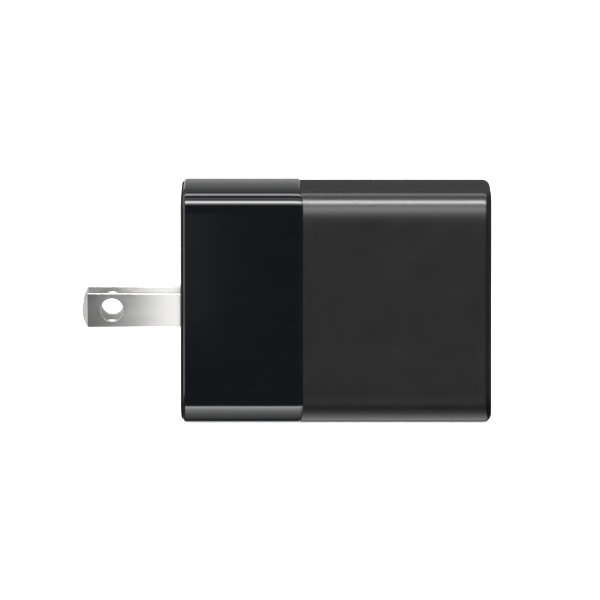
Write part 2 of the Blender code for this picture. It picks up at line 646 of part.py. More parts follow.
def make_liners(surfaces):
    """Thin aluminium spreaders inside both broad sides, and the film that insulates one of them."""
    inner_y = BODY_THICKNESS / 2 - WALL
    for side, low_y in (("right", -inner_y + 0.4 * MM), ("left", inner_y - 0.9 * MM)):
        low = (26.0 * MM, low_y, -17.0 * MM)
        high = (53.5 * MM, low_y + 0.5 * MM, 17.0 * MM)
        box("heat_spreader_" + side, low, high, surfaces["aluminium"])
    low = (26.0 * MM, inner_y - 1.5 * MM, -17.0 * MM)
    high = (42.5 * MM, inner_y - 1.2 * MM, 17.0 * MM)
    box("insulating_film", low, high, surfaces["film_clear"])


def make_mains_leads(surfaces):
    """The two insulated wires from the contact springs to the main board."""
    radius = 0.6 * MM
    start_x = 11.8 * MM
    end = (13.4 * MM, MAIN_BOARD_FRONT + GAP + radius)
    for side, y, z, surface in (
        ("left", BLADE_SPACING / 2, 4.4 * MM, "lead_black"),
        ("right", -BLADE_SPACING / 2, 1.8 * MM, "lead_white"),
    ):
        curve = bpy.data.curves.new("mains_lead_" + side, "CURVE")
        curve.dimensions = "3D"
        curve.bevel_depth = radius
        curve.bevel_resolution = 2
        curve.use_fill_caps = True
        curve.resolution_u = 6
        route = [(start_x, y, SPRING_TAIL_Z), (11.4 * MM, (y + end[1]) / 2, (z + SPRING_TAIL_Z) / 2)]
        route.append((end[0], end[1], z))
        spline = curve.splines.new("BEZIER")
        spline.bezier_points.add(len(route) - 1)
        for point, place in zip(spline.bezier_points, route):
            point.co = place
            point.handle_left_type = "AUTO"
            point.handle_right_type = "AUTO"
        curve.materials.append(surfaces[surface])
        lead = bpy.data.objects.new("mains_lead_" + side, curve)
        bpy.context.scene.collection.objects.link(lead)


def main():
    clear_scene()
    surfaces = make_materials()
    make_wall_shell(surfaces)
    make_port_shell(surfaces)
    make_face_plate(surfaces)
    make_prongs(surfaces)
    make_prong_well(surfaces)
    make_hinge_cradle(surfaces)
    make_springs(surfaces)
    make_ports(surfaces)
    make_boards(surfaces)
    make_choke(surfaces)
    make_transformer(surfaces)
    make_input_parts(surfaces)
    make_switching_parts(surfaces)
    make_output_parts(surfaces)
    make_liners(surfaces)
    make_mains_leads(surfaces)


main()
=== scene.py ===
"""Looks of the wall charger: fine shells, blades and ports, their finishes, a studio and a camera."""

import json
import math

import bmesh
import bpy
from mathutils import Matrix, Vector


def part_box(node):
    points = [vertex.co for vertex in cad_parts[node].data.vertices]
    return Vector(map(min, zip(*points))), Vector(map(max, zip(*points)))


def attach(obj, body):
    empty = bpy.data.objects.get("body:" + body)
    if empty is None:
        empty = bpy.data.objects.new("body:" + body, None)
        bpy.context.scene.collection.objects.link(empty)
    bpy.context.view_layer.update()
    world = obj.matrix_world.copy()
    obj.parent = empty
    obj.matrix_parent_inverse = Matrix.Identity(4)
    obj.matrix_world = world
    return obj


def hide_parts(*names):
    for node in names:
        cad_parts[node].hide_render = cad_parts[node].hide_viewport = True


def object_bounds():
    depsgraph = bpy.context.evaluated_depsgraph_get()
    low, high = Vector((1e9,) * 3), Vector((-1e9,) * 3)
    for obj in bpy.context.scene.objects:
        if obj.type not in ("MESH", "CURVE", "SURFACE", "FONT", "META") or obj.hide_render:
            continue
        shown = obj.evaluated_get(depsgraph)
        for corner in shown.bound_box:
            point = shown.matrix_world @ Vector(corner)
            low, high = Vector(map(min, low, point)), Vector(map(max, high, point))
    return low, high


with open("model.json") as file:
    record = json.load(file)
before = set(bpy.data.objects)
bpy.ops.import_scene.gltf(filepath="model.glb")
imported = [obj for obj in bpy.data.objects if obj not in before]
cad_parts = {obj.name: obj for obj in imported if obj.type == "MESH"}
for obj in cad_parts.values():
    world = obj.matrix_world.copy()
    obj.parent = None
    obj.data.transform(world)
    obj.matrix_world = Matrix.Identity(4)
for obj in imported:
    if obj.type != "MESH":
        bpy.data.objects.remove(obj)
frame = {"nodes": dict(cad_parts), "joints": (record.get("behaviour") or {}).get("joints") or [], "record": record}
CAD_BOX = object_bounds()

MM = 0.001
HOUSING = "housing"
PRONGS = "prongs"

# Shading: edges sharper than the first stay crisp, and edges sharper than the second can be rounded
SHARP_ANGLE = math.radians(30.0)
BEVEL_ANGLE = math.radians(35.0)

# Housing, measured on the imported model
SHELL_LOW, SHELL_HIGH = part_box("wall_shell")
PORT_LOW, PORT_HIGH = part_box("port_shell")
PLATE_BACK_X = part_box("face_plate")[1].x
PANEL_LOW, PANEL_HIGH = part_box("port_panel")
BLADE_LOW, BLADE_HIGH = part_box("blade_right")
SHELL_FULLNESS = 0.13 * MM
RIM_SETBACK = 0.12 * MM
HALF_Y = PORT_HIGH.y
HALF_Z = PORT_HIGH.z + SHELL_FULLNESS
RIM_X = SHELL_LOW.x + RIM_SETBACK
SEAM_X = PORT_LOW.x
END_X = PORT_HIGH.x
SEAM_GAP = 0.15 * MM
WALL = 1.5 * MM

# The cross-section: a slightly crowned top, then a tight bend that eases slowly into the flat side
CROWN = math.radians(1.4)
BEND_RADIUS = 3.3 * MM
BEND_END = math.radians(50.0)
CROWN_POINTS = 6
BEND_POINTS = 14
EASE_POINTS = 22
SECTION_STEP = 0.002 * MM
TIGHTEST = 1.0 * MM

# The glossy half: its rim, its edge at the seam, and the lip that reaches into the matte half
RIM_ROUND = 0.5 * MM
SEAM_ROUND = 0.13 * MM
SEAM_DEPTH = 0.22 * MM
SEAM_DIP = 0.5 * MM
SEAM_REACH = 4.0 * MM
LIP_INSET = 1.7 * MM
LIP_TAPER = 0.05 * MM
LIP_INNER = 2.25 * MM
LIP_ROOT = 2.0 * MM
LIP_BLEND = 1.0 * MM
LIP_START = SEAM_X + 0.01 * MM
REBATE_X = PLATE_BACK_X + 0.3 * MM
SLEEVE_STATIONS = (5 * MM, 10 * MM, 15 * MM, SEAM_X - SEAM_REACH, SEAM_X - SEAM_REACH / 2)

# The matte half: how far its walls stand back, how much lower it sits, and its round end
MATTE_STEP = 0.1 * MM
MATTE_DROP = 0.11 * MM
PORT_END_ROUND = 1.5 * MM
CUP_STATIONS = (SEAM_X + SEAM_REACH / 2, SEAM_X + SEAM_REACH, SEAM_X + 12 * MM, SEAM_X + 22 * MM)

# The panel in the port end, and its pocket
PANEL_POCKET = 3.5 * MM
PANEL_EDGE = 0.12 * MM
POCKET_EDGE = 0.1 * MM

# The wall plate, slightly pillowed, and its finger scoop
PLATE_INSET = 0.55 * MM
PLATE_EDGE = 0.3 * MM
PLATE_PILLOW = 3.0 * MM
PILLOW_STEPS = 8
SCOOP_RADIUS = 9.0 * MM
SCOOP_DEPTH = 0.7 * MM
SCOOP_WIDTH = 8.0 * MM
SCOOP_Z = 16.0 * MM
SCOOP_STEPS = 96

# Prongs
PIVOT = Vector(frame["joints"][0]["pos_m"])
ROOT_RADIUS = (BLADE_HIGH.z - BLADE_LOW.z) / 2
BLADE_Z = PIVOT.z - 0.06 * MM
BLADE_HALF = ROOT_RADIUS + 0.1 * MM
BLADE_THICKNESS = BLADE_HIGH.y - BLADE_LOW.y
BLADE_Y = abs(BLADE_HIGH.y + BLADE_LOW.y) / 2
TIP_X = BLADE_LOW.x
TIP_SAGITTA = 1.08 * MM
TIP_THICKNESS = 0.72 * MM
BLADE_EDGE = 0.14 * MM
HOLE_EDGE = 0.06 * MM
EDGE_STEPS = 4
TIP_STEPS = 32
ROOT_STEPS = 40
HOLE_STEPS = 64

# Holes in the blades, slots in the plate, and room for the folded tips inside the top wall
HOLE_X = -12.7 * MM
HOLE_RADIUS = 2.1 * MM
BORE_RADIUS = 2.0 * MM
SLOT_WIDTH = 2.1 * MM
SLOT_CLEARANCE = 0.3 * MM
SLOT_EDGE = 0.12 * MM
TIP_ROOM_X = (RIM_X + 0.2 * MM, 7 * MM)
TIP_ROOM_Z = (HALF_Z - WALL - 0.3 * MM, HALF_Z - 0.9 * MM)

# Ports
USB_C_Z = sum(corner.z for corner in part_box("usb_c_shell")) / 2
USB_A_Z = sum(corner.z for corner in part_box("usb_a_shell")) / 2
MOUTH_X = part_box("usb_c_shell")[1].x
PORT_BACK_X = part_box("usb_c_shell")[0].x
USB_C_MOUTH = (8.34 * MM, 2.56 * MM)
USB_A_MOUTH = (12.5 * MM, 5.12 * MM)
PORTS = (("usb_c", USB_C_MOUTH, USB_C_Z, True), ("usb_a", USB_A_MOUTH, USB_A_Z, False))
PORT_METAL = 0.3 * MM
PORT_LIP = 0.1 * MM
PORT_HOLE_EDGE = 0.08 * MM
USB_A_CORNER = 0.5 * MM
# A round end's radius is a hair under half the mouth's height, so no two points meet
ROUND_END_SHARE = 0.985
OUTLINE_STEPS = 10
INSULATOR_GAP = 0.15 * MM
USB_C_TONGUE = (6.69 * MM, 0.70 * MM)
USB_A_TONGUE = (11.1 * MM, 1.84 * MM)
USB_C_SETBACK = 0.9 * MM
USB_A_SETBACK = 0.7 * MM
USB_A_RISE = 1.1 * MM
TONGUE_BLOCK = 2.4 * MM
TONGUE_EDGE = 0.12 * MM
TONGUE_CORNER = 0.3 * MM
TONGUE_TIP_CORNER = 0.2 * MM
CONTACT_THICKNESS = 0.06 * MM
CONTACT_EDGE = 0.02 * MM
CONTACT_START = MOUTH_X - 6.0 * MM
CONTACT_END = MOUTH_X - 1.5 * MM
# Contacts of one row: how many, from middle to middle, and the width of each
USB_C_CONTACTS = (8, 0.75 * MM, 0.32 * MM)
USB_A_CONTACTS = (4, 2.3 * MM, 1.0 * MM)

# Camera
CAMERA_ELEVATION = math.radians(6.0)
CAMERA_DISTANCE = 2.4
CAMERA_TARGET = Vector((22.07 * MM, 0.0, -0.085 * MM))
CAMERA_LENS = 777.0


# ---------------------------------------------------------------- materials

def add_node(tree, kind, **settings):
    """Adds a node to a tree, with some of its properties set."""
    node = tree.nodes.new(kind)
    for key, value in settings.items():
        setattr(node, key, value)
    return node


class Nodes:
    """A short way to add and join the nodes of one material."""

    def __init__(self, name):
        self.material = bpy.data.materials.new(name)
        self.material.use_nodes = True
        self.tree = self.material.node_tree
        self.shader = self.tree.nodes["Principled BSDF"]

    def add(self, kind, **settings):
        """Adds a node to the material."""
        return add_node(self.tree, kind, **settings)

    def join(self, source, target):
        """Links an output to an input."""
        self.tree.links.new(source, target)

    def set(self, **values):
        """Sets the shader's sockets, named with underscores for spaces."""
        for key, value in values.items():
            self.shader.inputs[key.replace("_", " ")].default_value = value

    def coordinates(self, scale=(1.0, 1.0, 1.0)):
        """Object coordinates, stretched along each axis."""
        place = self.add("ShaderNodeTexCoord")
        mapping = self.add("ShaderNodeMapping")
        mapping.inputs["Scale"].default_value = scale
        self.join(place.outputs["Object"], mapping.inputs["Vector"])
        return mapping.outputs["Vector"]

    def noise(self, scale, detail=3.0, stretch=(1.0, 1.0, 1.0)):
        """A noise value over the surface, stretched along each axis."""
        node = self.add("ShaderNodeTexNoise")
        node.inputs["Scale"].default_value = scale
        node.inputs["Detail"].default_value = detail
        self.join(self.coordinates(stretch), node.inputs["Vector"])
        return node.outputs["Fac"]

    def spread(self, value, low, high, start=0.3, end=0.7):
        """Maps a noise value to a range of numbers."""
        node = self.add("ShaderNodeMapRange")
        node.inputs["From Min"].default_value = start
        node.inputs["From Max"].default_value = end
        node.inputs["To Min"].default_value = low
        node.inputs["To Max"].default_value = high
        self.join(value, node.inputs["Value"])
        return node.outputs["Result"]

    def blend_colours(self, value, first, second, start=0.3, end=0.7):
        """Maps a noise value to a mix of two colours."""
        node = self.add("ShaderNodeValToRGB")
        node.color_ramp.elements[0].position = start
        node.color_ramp.elements[0].color = (*first, 1.0)
        node.color_ramp.elements[1].position = end
        node.color_ramp.elements[1].color = (*second, 1.0)
        self.join(value, node.inputs["Fac"])
        return node.outputs["Color"]

    def bump(self, value, depth, strength=1.0):
        """A normal that follows a noise value, up to depth metres high."""
        node = self.add("ShaderNodeBump")
        node.inputs["Strength"].default_value = strength
        node.inputs["Distance"].default_value = depth
        self.join(value, node.inputs["Height"])
        return node.outputs["Normal"]

    def finish(self, colour, roughness, normal):
        """Joins what varies over the surface to the shader, and returns the material."""
        for socket, value in (("Base Color", colour), ("Roughness", roughness), ("Normal", normal)):
            self.join(value, self.shader.inputs[socket])
        return self.material


def gloss_black():
    """Polished polycarbonate, with faint moulding ripple and fine wipe marks."""
    made = Nodes("gloss_black")
    made.set(IOR=1.5)
    wipes = made.noise(90.0, 4.0, (1.0, 1.0, 6.0))
    ripple = made.noise(60.0, 1.0)
    colour = made.blend_colours(wipes, (0.0012, 0.0014, 0.0021), (0.0015, 0.0017, 0.0026))
    normal = made.bump(ripple, 0.004 * MM)
    return made.finish(colour, made.spread(wipes, 0.055, 0.085), normal)


def matte_black():
    """Spark-textured polycarbonate: a fine even grain, a little uneven in tone."""
    made = Nodes("matte_black")
    made.set(Specular_IOR_Level=0.38)
    grain = made.noise(5200.0, 2.0)
    patches = made.noise(160.0, 3.0)
    colour = made.blend_colours(patches, (0.0010, 0.0010, 0.0010), (0.0015, 0.0015, 0.0015))
    normal = made.bump(grain, 0.010 * MM, 0.55)
    return made.finish(colour, made.spread(patches, 0.25, 0.27), normal)


def plate_black():
    """Dead matte plastic with a coarser grain."""
    made = Nodes("plate_black")
    grain = made.noise(3800.0, 2.0)
    colour = made.blend_colours(made.noise(200.0), (0.0040, 0.0040, 0.0040), (0.0060, 0.0060, 0.0060))
    made.set(Specular_IOR_Level=0.12)
    return made.finish(colour, made.spread(grain, 0.42, 0.55), made.bump(grain, 0.012 * MM, 0.6))


def nickel():
    """Satin nickel plate, brushed along the blade, with fine handling marks."""
    made = Nodes("nickel")
    made.set(Metallic=1.0)
    brushing = made.noise(5000.0, 3.0, (0.025, 1.0, 1.0))
    marks = made.noise(420.0, 4.0, (0.4, 1.0, 1.0))
    colour = made.blend_colours(marks, (0.70, 0.696, 0.69), (0.78, 0.777, 0.77))
    normal = made.bump(brushing, 0.0016 * MM, 0.7)
    return made.finish(colour, made.spread(marks, 0.19, 0.24), normal)


def stamped_steel():
    """Pressed stainless sheet with a faint rolled grain."""
    made = Nodes("stamped_steel")
    made.set(Metallic=1.0)
    grain = made.noise(3000.0, 3.0, (0.05, 1.0, 1.0))
    colour = made.blend_colours(grain, (0.50, 0.50, 0.51), (0.62, 0.62, 0.63))
    return made.finish(colour, made.spread(grain, 0.24, 0.36), made.bump(grain, 0.002 * MM, 0.5))


def metal(name, dark, light, low, high, stretch):
    """A plain metal with a directional grain."""
    made = Nodes(name)
    made.set(Metallic=1.0)
    grain = made.noise(2600.0, 3.0, stretch)
    colour = made.blend_colours(grain, dark, light)
    return made.finish(colour, made.spread(grain, low, high), made.bump(grain, 0.002 * MM, 0.5))


def plastic(name, dark, light, low, high, scale=2400.0, depth=0.006):
    """A moulded or dipped surface with a fine grain, and patches 14 times as wide as it."""
    made = Nodes(name)
    grain = made.noise(scale, 2.0)
    patches = made.noise(scale / 14.0, 3.0)
    colour = made.blend_colours(patches, dark, light)
    return made.finish(colour, made.spread(patches, low, high), made.bump(grain, depth * MM, 0.5))


def solder_mask():
    """Green solder mask over copper tracks."""
    made = Nodes("solder_mask")
    cells = made.add("ShaderNodeTexVoronoi", feature="DISTANCE_TO_EDGE", distance="MANHATTAN")
    cells.inputs["Scale"].default_value = 420.0
    made.join(made.coordinates((1.0, 1.0, 2.0)), cells.inputs["Vector"])
    tracks = cells.outputs["Distance"]
    colour = made.blend_colours(tracks, (0.010, 0.085, 0.045), (0.018, 0.130, 0.070), 0.06, 0.14)
    roughness = made.spread(tracks, 0.30, 0.42, 0.05, 0.15)
    return made.finish(colour, roughness, made.bump(tracks, 0.02 * MM, 0.6))


def wound_wire():
    """Enamelled wire in close turns."""
    made = Nodes("wound_wire")
    made.set(Metallic=1.0)
    turns = made.add("ShaderNodeTexWave", bands_direction="Z")
    turns.inputs["Scale"].default_value = 700.0
    turns.inputs["Distortion"].default_value = 0.6
    made.join(made.coordinates(), turns.inputs["Vector"])
    value = turns.outputs["Fac"]
    colour = made.blend_colours(value, (0.34, 0.12, 0.04), (0.80, 0.38, 0.18), 0.1, 0.7)
    return made.finish(colour, made.spread(value, 0.45, 0.25), made.bump(value, 0.10 * MM, 0.8))


# Plain metals: dark and light colour, lowest and highest roughness, and the stretch of the grain
METALS = {
    "bronze": ((0.52, 0.30, 0.12), (0.72, 0.46, 0.22), 0.26, 0.40, (1.0, 1.0, 0.06)),
    "aluminium": ((0.66, 0.66, 0.67), (0.82, 0.82, 0.83), 0.30, 0.42, (0.05, 1.0, 1.0)),
    "gold": ((0.78, 0.55, 0.22), (0.92, 0.70, 0.34), 0.18, 0.28, (0.08, 1.0, 1.0)),
}
# Plastics and coatings: dark and light colour, lowest and highest roughness, and for some the grain's
# scale and depth
PLASTICS = {
    "carrier_plastic": ((0.010, 0.010, 0.010), (0.018, 0.018, 0.018), 0.42, 0.56),
    "insulator_black": ((0.008, 0.008, 0.008), (0.014, 0.014, 0.014), 0.36, 0.48),
    "chip": ((0.020, 0.020, 0.021), (0.034, 0.034, 0.036), 0.45, 0.60, 5000.0),
    "ceramic_white": ((0.66, 0.63, 0.57), (0.80, 0.78, 0.72), 0.25, 0.40),
    "disc_green": ((0.02, 0.11, 0.06), (0.04, 0.17, 0.09), 0.30, 0.45),
    "disc_blue": ((0.03, 0.12, 0.36), (0.05, 0.19, 0.50), 0.25, 0.38),
    "film_yellow": ((0.68, 0.46, 0.05), (0.82, 0.60, 0.10), 0.30, 0.42),
    "ferrite": ((0.030, 0.030, 0.032), (0.060, 0.058, 0.056), 0.50, 0.70, 3800.0, 0.012),
    "tape_yellow": ((0.66, 0.50, 0.08), (0.82, 0.66, 0.16), 0.30, 0.42, 1500.0),
    "capacitor_sleeve": ((0.012, 0.016, 0.036), (0.020, 0.026, 0.052), 0.28, 0.40),
    "lead_black": ((0.010, 0.010, 0.010), (0.018, 0.018, 0.018), 0.35, 0.48),
    "lead_white": ((0.62, 0.62, 0.59), (0.74, 0.74, 0.71), 0.35, 0.48),
    "silicone_grey": ((0.28, 0.30, 0.33), (0.36, 0.38, 0.41), 0.60, 0.75),
    "film_clear": ((0.55, 0.57, 0.55), (0.64, 0.66, 0.64), 0.22, 0.34),
}


def make_materials():
    """Every finish by the name of its slot."""
    made = {
        "gloss_black": gloss_black(),
        "matte_black": matte_black(),
        "plate_black": plate_black(),
        "nickel": nickel(),
        "steel": stamped_steel(),
        "board": solder_mask(),
        "copper": wound_wire(),
    }
    for name, values in METALS.items():
        made[name] = metal(name, *values)
    for name, values in PLASTICS.items():
        made[name] = plastic(name, *values)
    return made


# ---------------------------------------------------------------- mesh tools

def section_curve():
    """A quarter of the cross-section from the top's middle to the side, as (y, z, angle) of its normal."""
    step = SECTION_STEP
    ease = 3 * BEND_RADIUS * (math.pi / 2 - BEND_END)
    bend = BEND_RADIUS * (BEND_END - CROWN)
    angle, y, z, travelled = CROWN, 0.0, 0.0, 0.0
    points = [(y, z, angle)]
    while travelled < bend + ease:
        share = 1.0 if travelled < bend else (1 - (travelled - bend) / ease) ** 2
        angle += share / BEND_RADIUS * step
        y += math.cos(angle) * step
        z -= math.sin(angle) * step
        travelled += step
        points.append((y, z, angle))
    edge = HALF_Y - y
    quarter = []
    for number in range(CROWN_POINTS):
        turn = CROWN * number / CROWN_POINTS
        across = edge * number / CROWN_POINTS
        rise = edge * math.tan(CROWN / 2) - across * math.tan(turn / 2)
        quarter.append((across, HALF_Z + rise, turn))
    wanted = [CROWN + (BEND_END - CROWN) * n / BEND_POINTS for n in range(BEND_POINTS)]
    rest = math.pi / 2 - BEND_END
    wanted += [math.pi / 2 - rest * (1 - n / EASE_POINTS) ** 2 for n in range(EASE_POINTS)]
    for target in wanted:
        y, z, angle = min(points, key=lambda point: abs(point[2] - target))
        quarter.append((edge + y, HALF_Z + z, target))
    quarter.append((HALF_Y, HALF_Z + points[-1][1], math.pi / 2))
    return quarter


QUARTER = section_curve()


def section(inset):
    """The cross-section as (y, z, angle), moved inwards along its normals. Its underside is flat."""
    quarter = []
    for y, z, angle in QUARTER:
        y -= math.sin(angle) * inset
        z -= math.cos(angle) * inset
        quarter.append((y, z, angle))
    if inset > BEND_RADIUS - TIGHTEST:
        quarter = round_quarter(HALF_Y - inset, HALF_Z - inset)
    upper = quarter[::-1] + [(-y, z, angle) for y, z, angle in quarter[1:]]
    return upper + [(y, -min(z, HALF_Z - inset), angle) for y, z, angle in reversed(upper)]


def round_quarter(half_y, half_z):
    """A plain rounded corner with as many points as the eased one."""
    flat = half_y - TIGHTEST
    quarter = [(flat * n / CROWN_POINTS, half_z, 0.0) for n in range(CROWN_POINTS)]
    count = BEND_POINTS + EASE_POINTS
    for n in range(count + 1):
        angle = math.pi / 2 * n / count
        y = flat + TIGHTEST * math.sin(angle)
        quarter.append((y, half_z - TIGHTEST + TIGHTEST * math.cos(angle), angle))
    return quarter


def ring(x, inset, drop=0.0):
    """One loop of a shell. Near the seam it leans towards the wall across the top and the bottom."""
    near = max(0.0, 1 - abs(x - SEAM_X) / SEAM_REACH)
    points = []
    for y, z, angle in section(inset):
        points.append(Vector((x - SEAM_DIP * near * math.cos(angle) ** 2, y, z - drop)))
    return points


def rounded_rectangle(half_a, half_b, radius, steps):
    """Points round a rectangle with round corners, anticlockwise."""
    points = []
    for quarter, (side_a, side_b) in enumerate(((1, 1), (-1, 1), (-1, -1), (1, -1))):
        for step in range(steps + 1):
            angle = math.radians(90 * (quarter + step / steps))
            a = side_a * (half_a - radius) + radius * math.cos(angle)
            b = side_b * (half_b - radius) + radius * math.sin(angle)
            points.append((a, b))
    return points


def arc(x, inset, radius, steps, start, end):
    """Points of a round edge in the (x, inset) plane, about its centre."""
    points = []
    for step in range(steps + 1):
        angle = math.radians(start + (end - start) * step / steps)
        points.append((x + radius * math.cos(angle), inset - radius * math.sin(angle)))
    return points


def loft(rings, closed=False):
    """A surface through rings of equal count, capped at both ends or joined into a loop."""
    bm = bmesh.new()
    loops = [[bm.verts.new(point) for point in points] for points in rings]
    pairs = list(zip(loops, loops[1:]))
    if closed:
        pairs.append((loops[-1], loops[0]))
    for first, second in pairs:
        for here in range(len(first)):
            there = (here + 1) % len(first)
            bm.faces.new((first[here], first[there], second[there], second[here]))
    if not closed:
        bm.faces.new(loops[0])
        bm.faces.new(loops[-1])
    return bm


def new_object(name, bm):
    """Turns a bmesh into an object whose faces point out."""
    bmesh.ops.recalc_face_normals(bm, faces=bm.faces)
    mesh = bpy.data.meshes.new(name)
    bm.to_mesh(mesh)
    bm.free()
    obj = bpy.data.objects.new(name, mesh)
    bpy.context.scene.collection.objects.link(obj)
    return obj


def shade(obj):
    """Shades a mesh smooth, apart from its sharp edges."""
    obj.data.shade_smooth()
    obj.data.set_sharp_from_angle(angle=SHARP_ANGLE)


def piece(name, bm, surface, body, stands_for=()):
    """Turns a bmesh into a shaded piece that rides on a body."""
    obj = new_object(name, bm)
    obj.data.materials.append(surface)
    shade(obj)
    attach(obj, body)
    if stands_for:
        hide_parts(*stands_for)
    return obj


def slab(x, y, z):
    """A closed block between pairs of coordinates."""
    corners = [(y[0], z[0]), (y[1], z[0]), (y[1], z[1]), (y[0], z[1])]
    return loft([[Vector((at, a, b)) for a, b in corners] for at in x])


def apply_modifiers(obj):
    """Bakes an object's modifiers into its mesh."""
    graph = bpy.context.evaluated_depsgraph_get()
    mesh = bpy.data.meshes.new_from_object(obj.evaluated_get(graph))
    obj.modifiers.clear()
    obj.data = mesh


def subtract(obj, cutters, edge=0.0, segments=2):
    """Cuts helpers out of a piece and deletes them, rounds its edges where asked, and shades it again."""
    for helper in cutters:
        modifier = obj.modifiers.new("cut", "BOOLEAN")
        modifier.operation = "DIFFERENCE"
        modifier.solver = "EXACT"
        modifier.object = helper
    if edge:
        soften(obj, edge, segments)
    apply_modifiers(obj)
    for helper in cutters:
        bpy.data.objects.remove(helper, do_unlink=True)
    shade(obj)
    flatten_normals(obj)


def flatten_normals(obj):
    """Lets large faces keep their own shading right up to a rounded edge."""
    modifier = obj.modifiers.new("normals", "WEIGHTED_NORMAL")
    modifier.mode = "FACE_AREA"
    modifier.weight = 100
    modifier.keep_sharp = True
    apply_modifiers(obj)


def soften(obj, width, segments=2):
    """Rounds an object's sharp edges."""
    modifier = obj.modifiers.new("edges", "BEVEL")
    modifier.width = width
    modifier.segments = segments
    modifier.limit_method = "ANGLE"
    modifier.angle_limit = BEVEL_ANGLE


# ---------------------------------------------------------------- housing

def make_wall_half(finishes):
    """The glossy sleeve, from the rim round the plate to the lip inside the matte half."""
    seam = SEAM_X - SEAM_GAP
    lip_end = SHELL_HIGH.x
    profile = [(REBATE_X, RIM_ROUND)]
    profile += arc(RIM_X + RIM_ROUND, RIM_ROUND, RIM_ROUND, 8, 180, 90)
    profile += [(at, 0.0) for at in SLEEVE_STATIONS]
    profile += arc(seam - SEAM_ROUND, SEAM_ROUND, SEAM_ROUND, 4, 90, 0)
    profile += [(seam, SEAM_DEPTH), (LIP_START, SEAM_DEPTH), (LIP_START, LIP_INSET)]
    profile += [(lip_end, LIP_INSET + LIP_TAPER), (lip_end, LIP_INNER), (seam - LIP_ROOT, LIP_INNER)]
    profile += [(seam - LIP_ROOT - LIP_BLEND, WALL), (REBATE_X, WALL)]
    bm = loft([ring(x, inset) for x, inset in profile], closed=True)
    shell = piece("glossy_half", bm, finishes["gloss_black"], HOUSING, ["wall_shell"])
    subtract(shell, slot_cutters("tip_cutter", TIP_ROOM_X, TIP_ROOM_Z))


def slot_cutters(name, x, z):
    """A block for each blade, as wide as its slot."""
    made = []
    for side in (-1, 1):
        y = (side * BLADE_Y - SLOT_WIDTH / 2, side * BLADE_Y + SLOT_WIDTH / 2)
        made.append(new_object(name, slab(x, y, z)))
    return made


def port_outline(mouth, round_ends, grow=0.0):
    """A port's mouth, grown or shrunk evenly, with fully round ends or small round corners."""
    half_y = mouth[0] / 2 + grow
    half_z = mouth[1] / 2 + grow
    radius = half_z * ROUND_END_SHARE if round_ends else USB_A_CORNER + grow
    return rounded_rectangle(half_y, half_z, radius, OUTLINE_STEPS)


def port_cutters(low, high, grow):
    """A cutter for each port, between two places along X."""
    made = []
    for name, mouth, z, round_ends in PORTS:
        points = port_outline(mouth, round_ends, grow)
        bm = loft([[Vector((x, a, b + z)) for a, b in points] for x in (low, high)])
        made.append(new_object(name + "_cutter", bm))
    return made


def make_port_half(finishes):
    """The matte cup: a hair lower than the glossy half, round-ended, with a pocket for the port panel."""
    pocket_x = PANEL_LOW.x - SEAM_GAP
    inner_x = pocket_x - WALL
    inside = [(inner_x, WALL), (SEAM_X, WALL)]
    outside = arc(SEAM_X + SEAM_ROUND, MATTE_STEP + SEAM_ROUND, SEAM_ROUND, 4, 180, 90)
    outside += [(at, MATTE_STEP) for at in CUP_STATIONS]
    outside += arc(END_X - PORT_END_ROUND, MATTE_STEP + PORT_END_ROUND, PORT_END_ROUND, 12, 90, 0)
    mouth = [(END_X, PANEL_POCKET - POCKET_EDGE), (END_X - POCKET_EDGE, PANEL_POCKET)]
    mouth.append((pocket_x, PANEL_POCKET))
    rings = [ring(x, inset) for x, inset in inside]
    rings += [ring(x, inset, MATTE_DROP) for x, inset in outside]
    rings += [ring(x, inset) for x, inset in mouth]
    shell = piece("matte_half", loft(rings), finishes["matte_black"], HOUSING, ["port_shell"])
    subtract(shell, port_cutters(inner_x - MM, END_X + MM, PORT_METAL + SEAM_GAP))


def make_port_panel(finishes):
    """The glossy inlay in the port end."""
    inset = PANEL_POCKET + SEAM_GAP
    profile = [(PANEL_LOW.x, inset), (PANEL_HIGH.x - PANEL_EDGE, inset), (PANEL_HIGH.x, inset + PANEL_EDGE)]
    bm = loft([ring(x, depth) for x, depth in profile])
    panel = piece("end_panel", bm, finishes["gloss_black"], HOUSING, ["port_panel"])
    cutters = port_cutters(PANEL_LOW.x - MM, PANEL_HIGH.x + MM, PORT_METAL + SEAM_GAP)
    subtract(panel, cutters, PORT_HOLE_EDGE)


def make_face_plate(finishes):
    """The matte plate that meets the wall, slotted for the prongs, with a finger scoop."""
    profile = [(PLATE_BACK_X, PLATE_INSET), (PLATE_EDGE, PLATE_INSET)]
    for step in range(1, PILLOW_STEPS + 1):
        turn = math.pi / 2 * step / PILLOW_STEPS
        depth = PLATE_INSET + PLATE_PILLOW * (1 - math.cos(turn))
        profile.append((PLATE_EDGE * (1 - math.sin(turn)), depth))
    bm = loft([ring(x, depth) for x, depth in profile])
    plate = piece("wall_plate", bm, finishes["plate_black"], HOUSING, ["face_plate"])
    slot_low = PIVOT.z - BLADE_HALF - SLOT_CLEARANCE
    helpers = slot_cutters("slot_cutter", (-2 * MM, 3 * MM), (slot_low, HALF_Z))
    helpers.append(new_object("scoop_cutter", scoop()))
    subtract(plate, helpers, SLOT_EDGE, 3)


def scoop():
    """A shallow round-bottomed dish between the blade tips."""
    rings = []
    for y in (-SCOOP_WIDTH / 2, SCOOP_WIDTH / 2):
        centre = Vector((SCOOP_DEPTH - SCOOP_RADIUS, y, SCOOP_Z))
        points = []
        for step in range(SCOOP_STEPS):
            angle = 2 * math.pi * step / SCOOP_STEPS
            points.append(centre + Vector((math.cos(angle), 0.0, math.sin(angle))) * SCOOP_RADIUS)
        rings.append(points)
    return loft(rings)


# ---------------------------------------------------------------- prongs

